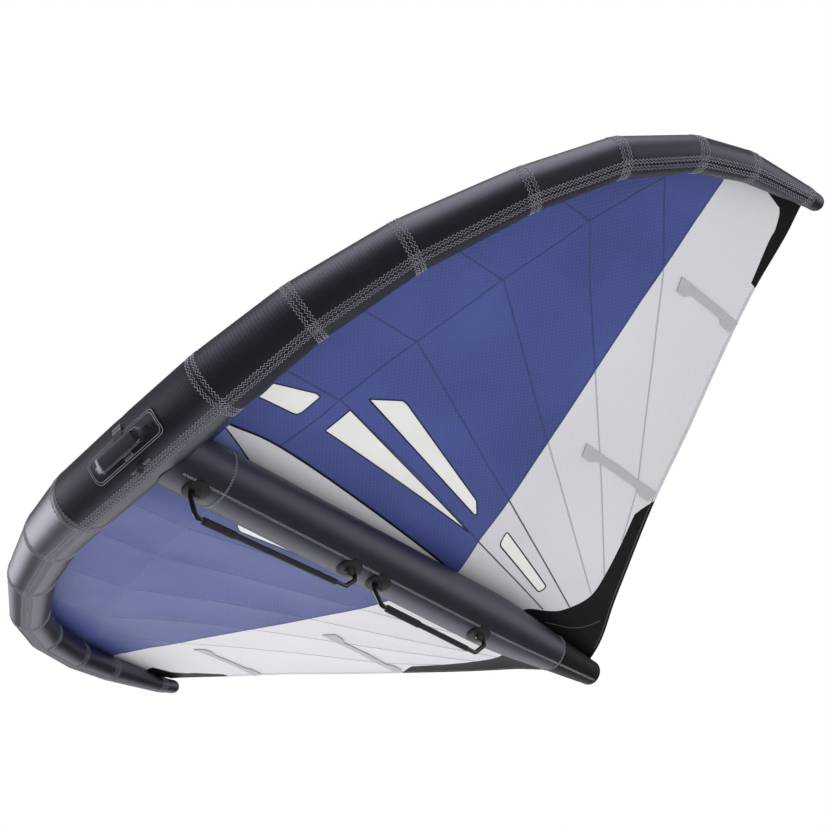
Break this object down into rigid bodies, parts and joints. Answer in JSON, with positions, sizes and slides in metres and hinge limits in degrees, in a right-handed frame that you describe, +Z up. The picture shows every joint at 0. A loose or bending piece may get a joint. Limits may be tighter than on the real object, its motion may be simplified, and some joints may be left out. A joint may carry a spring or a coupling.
{
  "type": "wingfoil wing",
  "caption": "Inflatable hand-held wing: swept tubular leading edge, centre strut, two-tone canopy with clear windows, two bar handles, a soft handle, leash loop, valve and hose.",
  "frame": {"origin": "under the middle of the wing's box, level with the lowest point, the underside of the front handle", "axes": "+X to the wing's right tip, +Y back from the leading edge along the strut, +Z up through the canopy"},
  "size_m": [3.3276, 2.1328, 0.8551],
  "materials": {
    "le_cloth": "coated woven polyester, dark grey",
    "strut_cloth": "coated woven polyester, grey",
    "film": "thin translucent air-tight film",
    "blue_cloth": "blue ripstop",
    "pale_cloth": "pale grey ripstop",
    "window_film": "clear flexible film",
    "patch_cloth": "black reinforcement cloth",
    "batten_fibre": "pale fibre strip in a sewn pocket",
    "bar_tube": "satin black tube",
    "grip_foam": "matt foam grip",
    "pad_rubber": "moulded rubber",
    "webbing": "woven webbing",
    "valve_plastic": "moulded plastic",
    "hose_plastic": "soft translucent hose"
  },
  "bodies": {
    "wing": {"batten_inner_left": "batten_fibre", "batten_inner_right": "batten_fibre", "batten_outer_left": "batten_fibre", "batten_outer_right": "batten_fibre", "canopy_front_left": "blue_cloth", "canopy_front_right": "blue_cloth", "canopy_rear_left": "pale_cloth", "canopy_rear_right": "pale_cloth", "canopy_wedge": "pale_cloth", "handle_pad_front_aft": "pad_rubber", "handle_pad_front_fore": "pad_rubber", "handle_pad_rear_aft": "pad_rubber", "handle_pad_rear_fore": "pad_rubber", "hose_clamp_frame": "valve_plastic", "le_bladder": "film", "le_handle_patch": "patch_cloth", "le_handle_strap": "webbing", "le_panel_centre": "le_cloth", "le_panel_left_1": "le_cloth", "le_panel_left_2": "le_cloth", "le_panel_left_3": "le_cloth", "le_panel_left_4": "le_cloth", "le_panel_left_5": "le_cloth", "le_panel_left_6": "le_cloth", "le_panel_left_7": "le_cloth", "le_panel_right_1": "le_cloth", "le_panel_right_2": "le_cloth", "le_panel_right_3": "le_cloth", "le_panel_right_4": "le_cloth", "le_panel_right_5": "le_cloth", "le_panel_right_6": "le_cloth", "le_panel_right_7": "le_cloth", "le_tip_cap_left": "patch_cloth", "le_tip_cap_right": "patch_cloth", "leash_patch": "patch_cloth", "strut_bladder": "film", "strut_end_cap": "patch_cloth", "strut_hose": "hose_plastic", "strut_sleeve_front": "strut_cloth", "strut_sleeve_main": "strut_cloth", "tail_patch": "patch_cloth", "tip_patch_left": "patch_cloth", "tip_patch_right": "patch_cloth", "valve_base": "valve_plastic", "window_left": "window_film", "window_right_a": "window_film", "window_right_b": "window_film", "window_right_c": "window_film", "window_right_d": "window_film"},
    "front_handle": {"handle_bar_front": "bar_tube", "handle_grip_front": "grip_foam"},
    "rear_handle": {"handle_bar_rear": "bar_tube", "handle_grip_rear": "grip_foam"},
    "soft_handle": {"le_handle_grip": "grip_foam"},
    "leash": {"leash_loop": "webbing"},
    "valve_lid": {"valve_cap": "valve_plastic"},
    "clamp_lever": {"hose_clamp_lever": "valve_plastic"}
  },
  "joints": [
    {"name": "front_handle_swing", "type": "hinge", "parent": "wing", "child": "front_handle", "pos_m": [0, -0.80156, 0.09698], "axis": [0, 1, 0], "range_deg": [-70, 70]},
    {"name": "rear_handle_swing", "type": "hinge", "parent": "wing", "child": "rear_handle", "pos_m": [0, -0.07156, 0.09698], "axis": [0, 1, 0], "range_deg": [-70, 70]},
    {"name": "soft_handle_swing", "type": "hinge", "parent": "wing", "child": "soft_handle", "pos_m": [0, -1.03676, 0.12866], "axis": [1, 0, 0], "range_deg": [-20, 20], "stiffness_Nm_per_rad": 0.5},
    {"name": "leash_loop_swing", "type": "hinge", "parent": "wing", "child": "leash", "pos_m": [0, -0.97593, 0.09573], "axis": [1, 0, 0], "range_deg": [-45, 45]},
    {"name": "valve_cap_hinge", "type": "hinge", "parent": "wing", "child": "valve_lid", "pos_m": [-0.235, -0.83609, 0.2166], "axis": [-1, 0, 0], "range_deg": [0, 150]},
    {"name": "clamp_lever_hinge", "type": "hinge", "parent": "wing", "child": "clamp_lever", "pos_m": [-0.12893, -0.79739, 0.25375], "axis": [0.5381, 0.8428, -0.0066], "range_deg": [0, 80]}
  ]
}
